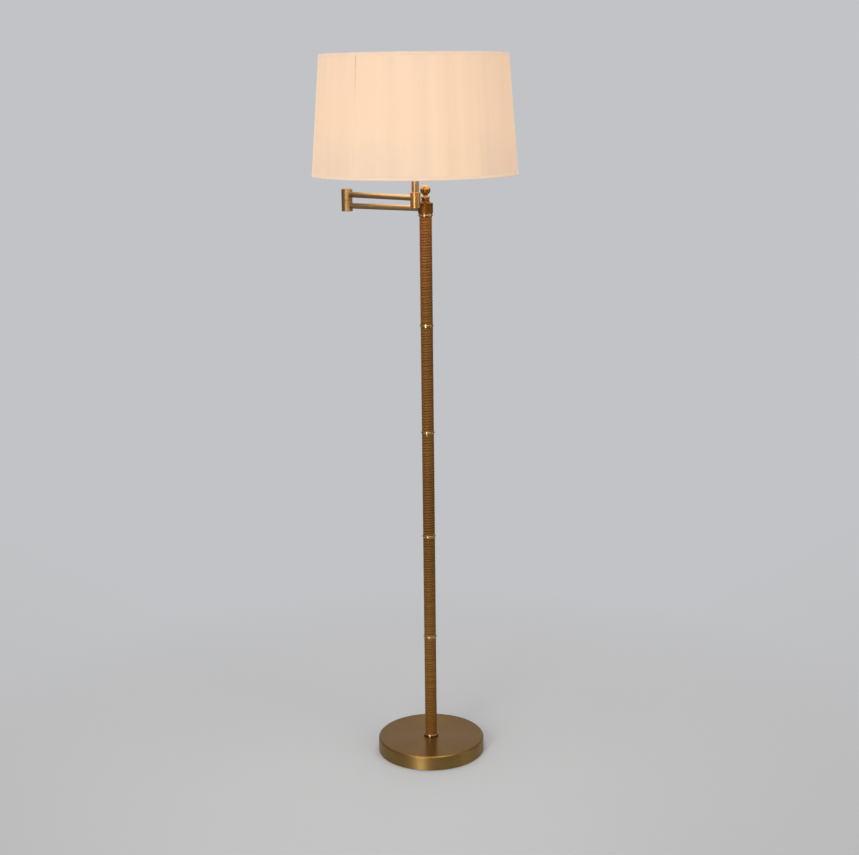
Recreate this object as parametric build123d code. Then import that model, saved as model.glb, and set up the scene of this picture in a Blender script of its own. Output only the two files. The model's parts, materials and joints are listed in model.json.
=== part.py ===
"""Adjustable arm floor lamp: a heavy round base, a cane-bound column and a folding two-part arm.

Millimetres, +Z up. The origin is the middle of the base on the floor, and -Y is the front.
The arm is drawn folded back on itself, as the lamp stands in the photograph.
"""

import math
import os

from build123d import *

# Clearances between pieces
RUNNING_FIT = 0.05  # radial, a pin that turns or slides in its bore
FIXED_FIT = 0.03  # radial, a tube or pin that is screwed or soldered in its socket
LOOSE_FIT = 0.3  # a piece that only lies in its recess
FACE_GAP = 0.4  # between two turned pieces that pass each other

# Base
BASE_DIAMETER = 250.0
BASE_HEIGHT = 33.5
BASE_WALL = 1.5
BASE_EDGE_RADIUS = 4.0
RIM_CLEARANCE = 1.0  # the metal rim stays off the floor
FELT_THICKNESS = 3.0
FELT_MARGIN = 0.8
WEIGHT_MARGIN = 0.4
NUT_WELL_DIAMETER = 52.0
NUT_WELL_DEPTH = 12.0
NUT_FLATS = 36.0
NUT_THICKNESS = 6.0
WASHER_DIAMETER = 46.0
WASHER_THICKNESS = 2.0
TUBE_END = 0.5  # of the tube below its nut
CORD_CHANNEL_WIDTH = 14.0
CORD_CHANNEL_DEPTH = 13.0
BUSH_HEIGHT = 10.0
BUSH_DIAMETER = 10.0
BUSH_BORE = 6.6
BUSH_FLANGE_DIAMETER = 14.0
BUSH_FLANGE_THICKNESS = 2.0
BUSH_LENGTH = 7.0

# Column
TUBE_DIAMETER = 25.0
TUBE_WALL = 2.0
COLUMN_DIAMETER = 28.0  # over the binding
SECTIONS = 5
RING_PITCH = 246.0
RING_HEIGHT = 7.0
RING_DIAMETER = 31.0
BASE_COLLAR_DIAMETER = 34.5
TOP_COLLAR_DIAMETER = 33.0
RING_LIP = 1.2  # straight edge of a ring, above and below its bead
RING_STEP = 0.45  # share of a ring's wall that the straight edge takes
STRIP_TURNS = 24
STRIP_GAP = 0.6
STRIP_EDGE = 0.35  # thickness of the strip at its edges

# Head of the column
DRUM_DIAMETER = 33.0
DRUM_HEIGHT = 22.9
DRUM_EDGE_RADIUS = 1.0
COVE_HEIGHT = 8.2
COVE_WIDTH = 5.7
COVE_RISE = 0.12  # slope at the cove's outer edge
DRUM_NECK_DIAMETER = 17.6
SPINDLE_DIAMETER = 14.0
SPINDLE_BORE = 8.0
SPINDLE_PLUG_LENGTH = 20.0
FLANGE_DIAMETER = 26.0
FLANGE_THICKNESS = 2.0
THRUST_WASHER_DIAMETER = 19.0
THRUST_WASHER_THICKNESS = 0.6
STUD_DIAMETER = 8.0
STUD_LENGTH = 14.0
STOP_PIN_DIAMETER = 2.5
STOP_PIN_ENGAGEMENT = 1.5
STOP_PIN_SEAT = 1.5
HEAD_STOP_RADIUS = 11.3
HEAD_SWING = 165.0  # degrees each way from the drawn pose
FINIAL_WASHER_THICKNESS = 0.7
FINIAL_BEAD_DIAMETER = 19.4
FINIAL_BEAD_HEIGHT = 6.0
FINIAL_BEAD_FALL = 0.6  # how much narrower the bead's top is than its foot
FINIAL_NECK_DIAMETER = 11.4
FINIAL_NECK_HEIGHT = 3.2
FINIAL_NECK_WAIST = 0.3
FINIAL_BALL_DIAMETER = 22.6

# Arms
ARM_LENGTH = 208.5  # from pivot to pivot, both arms
ARM_DIAMETER = 12.7
ARM_WALL = 1.2
ARM_HEIGHT_ON_DRUM = 10.4
ARM_SEAT = 4.0  # how deep a tube goes into what holds it
LOWER_ARM_SWING = 31.2  # degrees, left and back from the column
FOLD_ANGLE = 10.15  # degrees between the two arms as drawn
CABLE_BORE = 7.0
CABLE_WINDOW = 6.0  # in the elbow's pivot bolt

# Elbow
KNUCKLE_DIAMETER = 25.0
KNUCKLE_HEIGHT = 24.5
KNUCKLE_EDGE_RADIUS = 0.8
ELBOW_WASHER_THICKNESS = 0.8
ELBOW_WASHER_MARGIN = 0.5
ELBOW_PIN_DIAMETER = 12.0
ELBOW_PIN_BORE = 7.0
PIN_HEAD_DIAMETER = 17.0
PIN_HEAD_THICKNESS = 3.0
PIN_THREAD_DIAMETER = 10.0
KNUCKLE_WELL_DIAMETER = 18.0
KNUCKLE_WELL_DEPTH = 5.4
ELBOW_NUT_FLATS = 14.5
ELBOW_NUT_THICKNESS = 2.4
SPRING_WASHER_THICKNESS = 0.5
CAP_THICKNESS = 1.9
CAP_PROUD = 0.5
ELBOW_STOP_RADIUS = 9.2
ELBOW_SWING = 330.0  # degrees from the folded pose

# Hub and riser under the shade
HUB_DIAMETER = 22.3
HUB_DROP = 21.6  # below the upper arm's axis
HUB_RISE = 12.8  # above it
HUB_CHAMBER_DIAMETER = 10.0
HUB_PLUG_DIAMETER = 13.0
HUB_PLUG_THICKNESS = 5.0
PLUG_SLOT_WIDTH = 1.4
PLUG_SLOT_DEPTH = 1.5
RISER_DIAMETER = 16.0
RISER_WALL = 2.0
RISER_SEAT = 6.0
RISER_LENGTH = 78.0

# Lampholder and bulb
HOLDER_DIAMETER = 39.6
HOLDER_WALL = 1.2
CAP_NECK_DIAMETER = 21.0
CAP_NECK_LENGTH = 8.0
CAP_DOME_HEIGHT = 11.0
CAP_SKIRT_HEIGHT = 6.0
SHELL_HEIGHT = 44.0
SHELL_SPIGOT = 5.0
LEDGE_WIDTH = 2.6
LEDGE_THICKNESS = 2.0
CORE_HEIGHT = 18.0
CORE_DIAMETER = 36.6
SCREW_SHELL_DIAMETER = 29.6
SCREW_SHELL_WALL = 1.0
SCREW_SHELL_HEIGHT = 18.0
CONTACT_WIDTH = 6.0
CONTACT_LENGTH = 14.0
CONTACT_THICKNESS = 0.8
CONTACT_RISE = 3.0
SWITCH_HEIGHT = 8.0  # of the bar's axis above the shell's lower edge
SWITCH_BAR_DIAMETER = 5.0
SWITCH_BUTTON_DIAMETER = 8.0
SWITCH_BUTTON_LENGTH = 4.0
SWITCH_TRAVEL = 6.0
SWITCH_CLEARANCE = 0.5  # between a pushed button and the shell
BULB_CAP_DIAMETER = 26.4
BULB_CAP_HEIGHT = 22.0
BULB_TIP_HEIGHT = 4.5
BULB_TIP_DIAMETER = 8.0
BULB_NECK_DIAMETER = 25.0
BULB_DIAMETER = 60.0
BULB_LENGTH = 82.0  # of the glass
BULB_WALL = 1.0

# Shade and its fitting
SHADE_BOTTOM_DIAMETER = 450.0
SHADE_TOP_DIAMETER = 408.5
SHADE_HEIGHT = 257.0
SHADE_CLEARANCE = 36.5  # from the hub's top to the shade's lower edge
FABRIC_THICKNESS = 0.9
LINING_THICKNESS = 0.5
SKIN_GAP = 0.2  # between the layers of the shade's wall
TRIM_THICKNESS = 0.4
TRIM_HEIGHT = 7.0
WIRE_DIAMETER = 3.2
SPOKES = 3
SPOKE_DIAMETER = 3.6
SPOKE_RUN = 14.0  # level run at the fitter ring before a spoke drops
FIRST_SPOKE = 30.0  # degrees
FITTER_LIP = 4.0  # of the fitter ring past the two shade rings, where the spokes are soldered
FITTER_THICKNESS = 2.0
SHADE_RING_DIAMETER = 52.0
SHADE_RING_THICKNESS = 5.0
FITTER_HEIGHT = 25.0  # above the lampholder shell's lower edge
FITTER_DIAMETER = SHADE_RING_DIAMETER + 2 * FITTER_LIP

# Heights of the stack, from the floor up
WEIGHT_TOP = BASE_HEIGHT - BASE_WALL
NUT_WELL_TOP = FELT_THICKNESS + NUT_WELL_DEPTH
TUBE_BOTTOM = NUT_WELL_TOP - WASHER_THICKNESS - NUT_THICKNESS - TUBE_END
COLUMN_TOP = BASE_HEIGHT + SECTIONS * RING_PITCH + RING_HEIGHT
DRUM_BOTTOM = COLUMN_TOP + FACE_GAP
FLANGE_TOP = COLUMN_TOP + FLANGE_THICKNESS
DRUM_SEAT = FLANGE_TOP + THRUST_WASHER_THICKNESS
DRUM_TOP = DRUM_BOTTOM + DRUM_HEIGHT + COVE_HEIGHT
FINIAL_BOTTOM = DRUM_TOP + FINIAL_WASHER_THICKNESS
LOWER_ARM_Z = DRUM_BOTTOM + ARM_HEIGHT_ON_DRUM
UPPER_ARM_Z = LOWER_ARM_Z + KNUCKLE_HEIGHT + ELBOW_WASHER_THICKNESS
KNUCKLE_JOINT_Z = LOWER_ARM_Z + KNUCKLE_HEIGHT / 2
UPPER_KNUCKLE_Z = KNUCKLE_JOINT_Z + ELBOW_WASHER_THICKNESS
HUB_TOP = UPPER_ARM_Z + HUB_RISE
RISER_BOTTOM = HUB_TOP - RISER_SEAT
RISER_TOP = RISER_BOTTOM + RISER_LENGTH
HOLDER_BOTTOM = RISER_TOP - CAP_NECK_LENGTH + HOLDER_WALL
SHELL_BOTTOM = HOLDER_BOTTOM + CAP_NECK_LENGTH + CAP_DOME_HEIGHT + CAP_SKIRT_HEIGHT
CORE_BOTTOM = SHELL_BOTTOM + LEDGE_THICKNESS
CORE_TOP = CORE_BOTTOM + CORE_HEIGHT
BULB_TIP_Z = CORE_TOP + CONTACT_RISE + CONTACT_THICKNESS
BULB_CAP_BOTTOM = BULB_TIP_Z + BULB_TIP_HEIGHT
GLASS_BOTTOM = BULB_CAP_BOTTOM + BULB_CAP_HEIGHT
FITTER_Z = SHELL_BOTTOM + FITTER_HEIGHT
SWITCH_Z = SHELL_BOTTOM + SWITCH_HEIGHT
SHADE_BOTTOM = HUB_TOP + SHADE_CLEARANCE
SHADE_TOP = SHADE_BOTTOM + SHADE_HEIGHT

# The arms seen from above: the elbow E from the column, and the hub H from the elbow
LOWER_ARM_TURN = 180 - LOWER_ARM_SWING
UPPER_ARM_TURN = -LOWER_ARM_SWING - FOLD_ANGLE


def along(turn, distance, height=0.0):
    """The point at a distance from the axis, in the direction of a turn about Z in degrees."""
    angle = math.radians(turn)
    return Vector(distance * math.cos(angle), distance * math.sin(angle), height)


ELBOW = along(LOWER_ARM_TURN, ARM_LENGTH)
HUB = ELBOW + along(UPPER_ARM_TURN, ARM_LENGTH)


def disc(diameter, bottom, top, bore=0.0):
    """A round plate or sleeve about Z between two heights."""
    plate = Pos(0, 0, bottom) * Cylinder(
        diameter / 2, top - bottom, align=(Align.CENTER, Align.CENTER, Align.MIN)
    )
    if bore:
        plate -= disc(bore, bottom - 1, top + 1)
    return plate


def turned(*edges):
    """A round piece, from the edges of its half outline in the XZ plane."""
    return revolve(make_face(Wire.combine(edges)[0]), Axis.Z)


def polygon_turned(*outline):
    """A round piece, from the corners (radius, height) of its half outline."""
    return revolve(make_face(Polyline(*[(r, 0, z) for r, z in outline], close=True)), Axis.Z)


def rod(diameter, turn, start, end, height, at=Vector()):
    """A level round bar about the line that leaves a vertical axis in one direction."""
    bar = Cylinder(diameter / 2, end - start, align=(Align.CENTER, Align.CENTER, Align.MIN))
    return Pos(*at) * Pos(0, 0, height) * Rot(0, 0, turn) * Pos(start, 0, 0) * Rot(0, 90, 0) * bar


def hexagon_nut(flats, bottom, top, bore):
    """A plain hexagon nut about Z."""
    blank = Pos(0, 0, bottom) * extrude(RegularPolygon(flats / math.sqrt(3), 6), top - bottom)
    return blank - disc(bore, bottom - 1, top + 1)


def arc_groove(radius, width, bottom, top, start, sweep_angle):
    """A groove round part of a turn, to be cut under a piece that a stop pin limits."""
    section = make_face(
        Polyline(
            (radius - width / 2, 0, bottom),
            (radius + width / 2, 0, bottom),
            (radius + width / 2, 0, top),
            (radius - width / 2, 0, top),
            close=True,
        )
    )
    return Rot(0, 0, start) * revolve(section, Axis.Z, revolution_arc=sweep_angle)


# Base


def base_cover():
    radius = BASE_DIAMETER / 2
    outer = fillet(
        disc(BASE_DIAMETER, RIM_CLEARANCE, BASE_HEIGHT).edges().group_by(Axis.Z)[-1], BASE_EDGE_RADIUS
    )
    inner = fillet(
        disc(BASE_DIAMETER - 2 * BASE_WALL, RIM_CLEARANCE - 1, WEIGHT_TOP).edges().group_by(Axis.Z)[-1],
        BASE_EDGE_RADIUS - BASE_WALL,
    )
    shell = outer - inner
    shell -= disc(TUBE_DIAMETER + 2 * LOOSE_FIT, 0, BASE_HEIGHT + 1)
    return shell - rod(BUSH_DIAMETER + 2 * FIXED_FIT, 90, radius / 2, radius + 1, BUSH_HEIGHT)


def base_weight():
    radius = BASE_DIAMETER / 2 - BASE_WALL - WEIGHT_MARGIN
    block = disc(2 * radius, FELT_THICKNESS, WEIGHT_TOP, TUBE_DIAMETER + 2 * LOOSE_FIT)
    rim = block.edges().group_by(Axis.Z)[-1].sort_by(SortBy.LENGTH)[-1]
    block = chamfer(rim, BASE_EDGE_RADIUS - BASE_WALL)
    block -= disc(NUT_WELL_DIAMETER, 0, NUT_WELL_TOP)
    channel = Box(
        CORD_CHANNEL_WIDTH,
        radius + 1,
        CORD_CHANNEL_DEPTH,
        align=(Align.CENTER, Align.MIN, Align.MIN),
    )
    return block - Pos(0, 0, FELT_THICKNESS) * channel


def base_felt():
    radius = BASE_DIAMETER / 2 - BASE_WALL - FELT_MARGIN
    return disc(2 * radius, 0, FELT_THICKNESS)


def cord_bush():
    """The gland for the flex, pressed into the rim at the back."""
    rim = BASE_DIAMETER / 2
    bush = rod(BUSH_DIAMETER, 90, rim - BUSH_LENGTH, rim, BUSH_HEIGHT)
    bush += rod(BUSH_FLANGE_DIAMETER, 90, rim, rim + BUSH_FLANGE_THICKNESS, BUSH_HEIGHT)
    return bush - rod(BUSH_BORE, 90, rim - 2 * BUSH_LENGTH, rim + BUSH_LENGTH, BUSH_HEIGHT)


# Column


def bead_ring(diameter, bottom):
    """A turned ring with a rounded rim, threaded over the column tube."""
    bore = TUBE_DIAMETER / 2 + FIXED_FIT
    top = bottom + RING_HEIGHT
    lip = bore + (diameter / 2 - bore) * RING_STEP
    foot = Polyline((lip, 0, top), (bore, 0, top), (bore, 0, bottom), (lip, 0, bottom))
    side = Polyline((lip, 0, bottom), (lip, 0, bottom + RING_LIP))
    bead = ThreePointArc(
        (lip, 0, bottom + RING_LIP), (diameter / 2, 0, (bottom + top) / 2), (lip, 0, top - RING_LIP)
    )
    shoulder = Polyline((lip, 0, top - RING_LIP), (lip, 0, top))
    return turned(foot, side, bead, shoulder)


def ring_bottom(index):
    return BASE_HEIGHT + index * RING_PITCH


SECTION_LENGTH = RING_PITCH - RING_HEIGHT
STRIP_PITCH = SECTION_LENGTH / STRIP_TURNS
STRIP_INNER = TUBE_DIAMETER / 2 + RUNNING_FIT
STRIP_OUTER = COLUMN_DIAMETER / 2
STRIP_WIDTH = STRIP_PITCH - STRIP_GAP


def strip_path():
    """The helix that the middle of the strip's inner face follows in one section."""
    return Pos(0, 0, STRIP_PITCH / 2) * Helix(STRIP_PITCH, SECTION_LENGTH - STRIP_PITCH, STRIP_INNER)


def bound_strip():
    """One strip of cane wound round the tube, from the ring below to the ring above."""
    path = strip_path()
    across = Plane(origin=path @ 0, x_dir=(1, 0, 0), z_dir=path % 0)
    half = STRIP_WIDTH / 2
    crown = STRIP_OUTER - STRIP_INNER
    section = Polyline((0, -half), (STRIP_EDGE, -half), (crown, 0), (STRIP_EDGE, half), (0, half), close=True)
    return sweep(across * make_face(section), path=path, is_frenet=True)


def least_strip_gap(samples=48):
    """The least gap between one turn of the strip and the next, measured on points."""
    path = strip_path()
    steps = samples * (STRIP_TURNS - 1)
    lift = Vector(0, 0, STRIP_WIDTH / 2)
    points = [path @ (step / steps) for step in range(steps + 1)]
    return min(
        (points[step + near] - lift - points[step] - lift).length
        for step in range(steps + 1 - samples)
        for near in range(samples - 4, min(samples + 5, steps + 1 - step))
    )


# Head of the column


def head_spindle():
    """The fixed pivot: plug in the tube, flange on the top collar, journal and stud."""
    shoulder = DRUM_TOP - FACE_GAP
    plug_bottom = COLUMN_TOP - SPINDLE_PLUG_LENGTH
    body = disc(TUBE_DIAMETER - 2 * TUBE_WALL - 2 * FIXED_FIT, plug_bottom, COLUMN_TOP)
    body += disc(FLANGE_DIAMETER, COLUMN_TOP, FLANGE_TOP)
    body += disc(SPINDLE_DIAMETER, FLANGE_TOP, shoulder)
    body += disc(STUD_DIAMETER, shoulder, shoulder + STUD_LENGTH)
    bore_top = LOWER_ARM_Z + CABLE_BORE
    body -= disc(SPINDLE_BORE, plug_bottom - 1, bore_top)
    window = rod(CABLE_BORE, LOWER_ARM_TURN, 0, SPINDLE_DIAMETER, LOWER_ARM_Z)
    pin_hole = disc(STOP_PIN_DIAMETER, FLANGE_TOP - STOP_PIN_SEAT, FLANGE_TOP + 1)
    return body - window - Pos(*head_stop()) * pin_hole


def head_stop():
    """The stop pin stands opposite the lower arm."""
    return along(LOWER_ARM_TURN + 180, HEAD_STOP_RADIUS)


def stop_angle(radius):
    """Half the angle that a stop pin and its end clearance take up in a groove."""
    return math.degrees((STOP_PIN_DIAMETER / 2 + LOOSE_FIT) / radius)


def head_drum():
    """The turning head: a drum with a coved shoulder, a counterbored underside and the arm's socket."""
    wall = DRUM_BOTTOM + DRUM_HEIGHT
    radius = DRUM_DIAMETER / 2
    neck = DRUM_NECK_DIAMETER / 2
    bore = SPINDLE_DIAMETER / 2 + RUNNING_FIT
    well = FLANGE_DIAMETER / 2 + LOOSE_FIT
    shoulder = radius - DRUM_EDGE_RADIUS
    cove = neck + COVE_WIDTH
    outline = [
        Polyline((neck, 0, DRUM_TOP), (bore, 0, DRUM_TOP), (bore, 0, DRUM_SEAT), (well, 0, DRUM_SEAT)),
        Polyline((well, 0, DRUM_SEAT), (well, 0, DRUM_BOTTOM), (radius, 0, DRUM_BOTTOM)),
        Line((radius, 0, DRUM_BOTTOM), (radius, 0, wall - DRUM_EDGE_RADIUS)),
        TangentArc((radius, 0, wall - DRUM_EDGE_RADIUS), (shoulder, 0, wall), tangent=(0, 0, 1)),
        Line((shoulder, 0, wall), (cove, 0, wall)),
        TangentArc((cove, 0, wall), (neck, 0, DRUM_TOP), tangent=(-1, 0, COVE_RISE)),
    ]
    drum = turned(*outline)
    half = HEAD_SWING + stop_angle(HEAD_STOP_RADIUS)
    groove = arc_groove(
        HEAD_STOP_RADIUS,
        STOP_PIN_DIAMETER + 2 * LOOSE_FIT,
        DRUM_SEAT - 1,
        FLANGE_TOP + STOP_PIN_ENGAGEMENT + LOOSE_FIT,
        LOWER_ARM_TURN + 180 - half,
        2 * half,
    )
    drum -= groove
    drum -= rod(ARM_DIAMETER + 2 * FIXED_FIT, LOWER_ARM_TURN, radius - ARM_SEAT, radius + 1, LOWER_ARM_Z)
    return drum - rod(CABLE_BORE, LOWER_ARM_TURN, 0, radius, LOWER_ARM_Z)


def stop_pin(bottom, top):
    return disc(STOP_PIN_DIAMETER - 2 * FIXED_FIT, bottom, top)


def finial():
    """The ball nut that holds the head down."""
    neck_foot = FINIAL_BOTTOM + FINIAL_BEAD_HEIGHT
    neck_top = neck_foot + FINIAL_NECK_HEIGHT
    bead = FINIAL_BEAD_DIAMETER / 2
    foot = DRUM_NECK_DIAMETER / 2
    neck = FINIAL_NECK_DIAMETER / 2
    ball = FINIAL_BALL_DIAMETER / 2
    centre = neck_top + math.sqrt(ball**2 - neck**2)
    bead_top = foot - FINIAL_BEAD_FALL
    bead_middle = FINIAL_BOTTOM + FINIAL_BEAD_HEIGHT / 2
    waist = neck - FINIAL_NECK_WAIST
    waist_middle = neck_foot + FINIAL_NECK_HEIGHT * 0.6
    outline = [
        Polyline((0, 0, centre + ball), (0, 0, FINIAL_BOTTOM), (foot, 0, FINIAL_BOTTOM)),
        ThreePointArc((foot, 0, FINIAL_BOTTOM), (bead, 0, bead_middle), (bead_top, 0, neck_foot)),
        ThreePointArc((bead_top, 0, neck_foot), (waist, 0, waist_middle), (neck, 0, neck_top)),
        ThreePointArc((neck, 0, neck_top), (ball, 0, centre), (0, 0, centre + ball)),
    ]
    hole = disc(STUD_DIAMETER + 2 * FIXED_FIT, 0, DRUM_TOP - FACE_GAP + STUD_LENGTH + LOOSE_FIT)
    return turned(*outline) - hole


# Arms and elbow


def arm_tube(turn, start, end, height, at=Vector()):
    tube = rod(ARM_DIAMETER, turn, start, end, height, at)
    return tube - rod(ARM_DIAMETER - 2 * ARM_WALL, turn, start - 1, end + 1, height, at)


def lower_arm_tube():
    start = DRUM_DIAMETER / 2 - ARM_SEAT + FIXED_FIT
    end = ARM_LENGTH - KNUCKLE_DIAMETER / 2 + ARM_SEAT - FIXED_FIT
    return arm_tube(LOWER_ARM_TURN, start, end, LOWER_ARM_Z)


def upper_arm_tube():
    start = KNUCKLE_DIAMETER / 2 - ARM_SEAT + FIXED_FIT
    end = ARM_LENGTH - HUB_DIAMETER / 2 + ARM_SEAT - FIXED_FIT
    return arm_tube(UPPER_ARM_TURN, start, end, UPPER_ARM_Z, ELBOW)


def knuckle(bottom, bore, turn, arm_height):
    """A round elbow block with its pivot bore and the socket of one arm."""
    top = bottom + KNUCKLE_HEIGHT
    block = disc(KNUCKLE_DIAMETER, bottom, top)
    block = fillet(block.edges().filter_by(GeomType.CIRCLE), KNUCKLE_EDGE_RADIUS)
    radius = KNUCKLE_DIAMETER / 2
    block -= disc(bore, bottom - 1, top + 1)
    block -= rod(ARM_DIAMETER + 2 * FIXED_FIT, turn, radius - ARM_SEAT, radius + 1, arm_height)
    return block - rod(CABLE_BORE, turn, 0, radius, arm_height)


def elbow_stop():
    """The elbow's stop pin stands on the far side from the lower arm."""
    return along(LOWER_ARM_TURN, ELBOW_STOP_RADIUS)


def elbow_lower_knuckle():
    bottom = KNUCKLE_JOINT_Z - KNUCKLE_HEIGHT
    block = knuckle(bottom, ELBOW_PIN_DIAMETER + 2 * FIXED_FIT, LOWER_ARM_TURN + 180, LOWER_ARM_Z)
    block -= disc(KNUCKLE_WELL_DIAMETER, bottom - 1, bottom + KNUCKLE_WELL_DEPTH)
    seat = disc(STOP_PIN_DIAMETER, KNUCKLE_JOINT_Z - 2 * STOP_PIN_SEAT, KNUCKLE_JOINT_Z + 1)
    return Pos(*ELBOW) * (block - Pos(*elbow_stop()) * seat)


def elbow_upper_knuckle():
    top = UPPER_KNUCKLE_Z + KNUCKLE_HEIGHT
    block = knuckle(UPPER_KNUCKLE_Z, ELBOW_PIN_DIAMETER + 2 * RUNNING_FIT, UPPER_ARM_TURN, UPPER_ARM_Z)
    block -= disc(KNUCKLE_WELL_DIAMETER, top - KNUCKLE_WELL_DEPTH, top + 1)
    spare = stop_angle(ELBOW_STOP_RADIUS)
    block -= arc_groove(
        ELBOW_STOP_RADIUS,
        STOP_PIN_DIAMETER + 2 * LOOSE_FIT,
        UPPER_KNUCKLE_Z - 1,
        UPPER_KNUCKLE_Z + STOP_PIN_ENGAGEMENT + LOOSE_FIT,
        LOWER_ARM_TURN - spare,
        ELBOW_SWING + 2 * spare,
    )
    return Pos(*ELBOW) * block


def elbow_washer():
    washer = disc(
        KNUCKLE_DIAMETER - 2 * KNUCKLE_EDGE_RADIUS - 2 * ELBOW_WASHER_MARGIN,
        KNUCKLE_JOINT_Z,
        UPPER_KNUCKLE_Z,
        ELBOW_PIN_DIAMETER + 2 * FIXED_FIT,
    )
    hole = disc(STOP_PIN_DIAMETER, KNUCKLE_JOINT_Z - 1, UPPER_KNUCKLE_Z + 1)
    return Pos(*ELBOW) * (washer - Pos(*elbow_stop()) * hole)


ELBOW_HEAD_TOP = KNUCKLE_JOINT_Z - KNUCKLE_HEIGHT + KNUCKLE_WELL_DEPTH
ELBOW_NUT_SEAT = UPPER_KNUCKLE_Z + KNUCKLE_HEIGHT - KNUCKLE_WELL_DEPTH
ELBOW_NUT_BOTTOM = ELBOW_NUT_SEAT + SPRING_WASHER_THICKNESS
ELBOW_NUT_TOP = ELBOW_NUT_BOTTOM + ELBOW_NUT_THICKNESS


def elbow_pin():
    """The hollow pivot bolt, with windows where the flex turns into each arm."""
    pin = disc(PIN_HEAD_DIAMETER, ELBOW_HEAD_TOP - PIN_HEAD_THICKNESS, ELBOW_HEAD_TOP)
    pin += disc(ELBOW_PIN_DIAMETER, ELBOW_HEAD_TOP, ELBOW_NUT_SEAT)
    pin += disc(PIN_THREAD_DIAMETER, ELBOW_NUT_SEAT, ELBOW_NUT_TOP)
    half = CABLE_BORE / 2
    pin -= disc(ELBOW_PIN_BORE, LOWER_ARM_Z - half, UPPER_ARM_Z + half)
    pin -= rod(CABLE_WINDOW, LOWER_ARM_TURN + 180, 0, ELBOW_PIN_DIAMETER, LOWER_ARM_Z)
    return Pos(*ELBOW) * (pin - rod(CABLE_WINDOW, UPPER_ARM_TURN, 0, ELBOW_PIN_DIAMETER, UPPER_ARM_Z))


def elbow_cap(face, outward):
    """A low domed cap that closes the well in the end face of a knuckle."""
    radius = KNUCKLE_WELL_DIAMETER / 2 - FIXED_FIT
    outer = face + outward * CAP_PROUD
    inner = outer - outward * CAP_THICKNESS
    sphere = (radius**2 + CAP_PROUD**2) / (2 * CAP_PROUD)
    half_way = math.sqrt(sphere**2 - radius**2 / 4) - sphere
    edge = Polyline((0, 0, outer), (0, 0, inner), (radius, 0, inner), (radius, 0, face))
    dome = ThreePointArc((radius, 0, face), (radius / 2, 0, outer + outward * half_way), (0, 0, outer))
    return Pos(*ELBOW) * turned(edge, dome)


# Hub and riser


def lamp_hub():
    bottom = UPPER_ARM_Z - HUB_DROP
    block = disc(HUB_DIAMETER, bottom, HUB_TOP)
    block = fillet(block.edges().filter_by(GeomType.CIRCLE), KNUCKLE_EDGE_RADIUS)
    block -= disc(RISER_DIAMETER + 2 * FIXED_FIT, RISER_BOTTOM, HUB_TOP + 1)
    block -= disc(HUB_CHAMBER_DIAMETER, bottom, HUB_TOP)
    block -= disc(HUB_PLUG_DIAMETER, bottom - 1, bottom + HUB_PLUG_THICKNESS)
    radius = HUB_DIAMETER / 2
    turn = UPPER_ARM_TURN + 180
    block -= rod(ARM_DIAMETER + 2 * FIXED_FIT, turn, radius - ARM_SEAT, radius + 1, UPPER_ARM_Z)
    return Pos(*HUB) * (block - rod(CABLE_BORE, turn, 0, radius, UPPER_ARM_Z))


def hub_plug():
    """A slotted screw plug under the hub."""
    bottom = UPPER_ARM_Z - HUB_DROP
    plug = disc(HUB_PLUG_DIAMETER - 2 * FIXED_FIT, bottom, bottom + HUB_PLUG_THICKNESS)
    slot = Box(HUB_PLUG_DIAMETER, PLUG_SLOT_WIDTH, 2 * PLUG_SLOT_DEPTH)
    return Pos(*HUB) * (plug - Pos(0, 0, bottom) * slot)


def riser_tube():
    return Pos(*HUB) * disc(RISER_DIAMETER, RISER_BOTTOM, RISER_TOP, RISER_DIAMETER - 2 * RISER_WALL)


# Lampholder and bulb, about the hub's axis


def lampholder_cap():
    """The lower cup of the lampholder, screwed down on the riser."""
    neck = CAP_NECK_DIAMETER / 2
    socket = RISER_DIAMETER / 2 + FIXED_FIT
    cable = RISER_DIAMETER / 2 - RISER_WALL
    outer = HOLDER_DIAMETER / 2
    inner = outer - HOLDER_WALL
    mouth = neck - HOLDER_WALL
    z0 = HOLDER_BOTTOM
    z1 = z0 + CAP_NECK_LENGTH
    z2 = z1 + CAP_DOME_HEIGHT
    z3 = z2 + CAP_SKIRT_HEIGHT
    floor = z1 + HOLDER_WALL
    down = (0, 0, -1)
    edges = [
        Polyline((neck, 0, z1), (neck, 0, z0), (socket, 0, z0), (socket, 0, RISER_TOP)),
        Polyline((socket, 0, RISER_TOP), (cable, 0, RISER_TOP), (cable, 0, floor), (mouth, 0, floor)),
        TangentArc((inner, 0, z2), (mouth, 0, floor), tangent=down),
        Polyline((inner, 0, z2), (inner, 0, z3), (outer, 0, z3), (outer, 0, z2)),
        TangentArc((outer, 0, z2), (neck, 0, z1), tangent=down),
    ]
    return Pos(*HUB) * turned(*edges)


def lampholder_shell():
    outer = HOLDER_DIAMETER / 2
    inner = outer - HOLDER_WALL
    spigot = inner - FIXED_FIT
    ledge = inner - LEDGE_WIDTH
    shell = polygon_turned(
        (spigot - HOLDER_WALL, SHELL_BOTTOM - SHELL_SPIGOT),
        (spigot, SHELL_BOTTOM - SHELL_SPIGOT),
        (spigot, SHELL_BOTTOM),
        (outer, SHELL_BOTTOM),
        (outer, SHELL_BOTTOM + SHELL_HEIGHT),
        (inner, SHELL_BOTTOM + SHELL_HEIGHT),
        (inner, CORE_BOTTOM),
        (ledge, CORE_BOTTOM),
        (ledge, SHELL_BOTTOM),
        (spigot - HOLDER_WALL, SHELL_BOTTOM),
    )
    return Pos(*HUB) * (shell - switch_way())


def switch_way():
    """The cross bore of the push bar, through the shell and the core."""
    reach = HOLDER_DIAMETER
    return rod(SWITCH_BAR_DIAMETER + 2 * RUNNING_FIT, 0, -reach, reach, SWITCH_Z)


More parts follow.
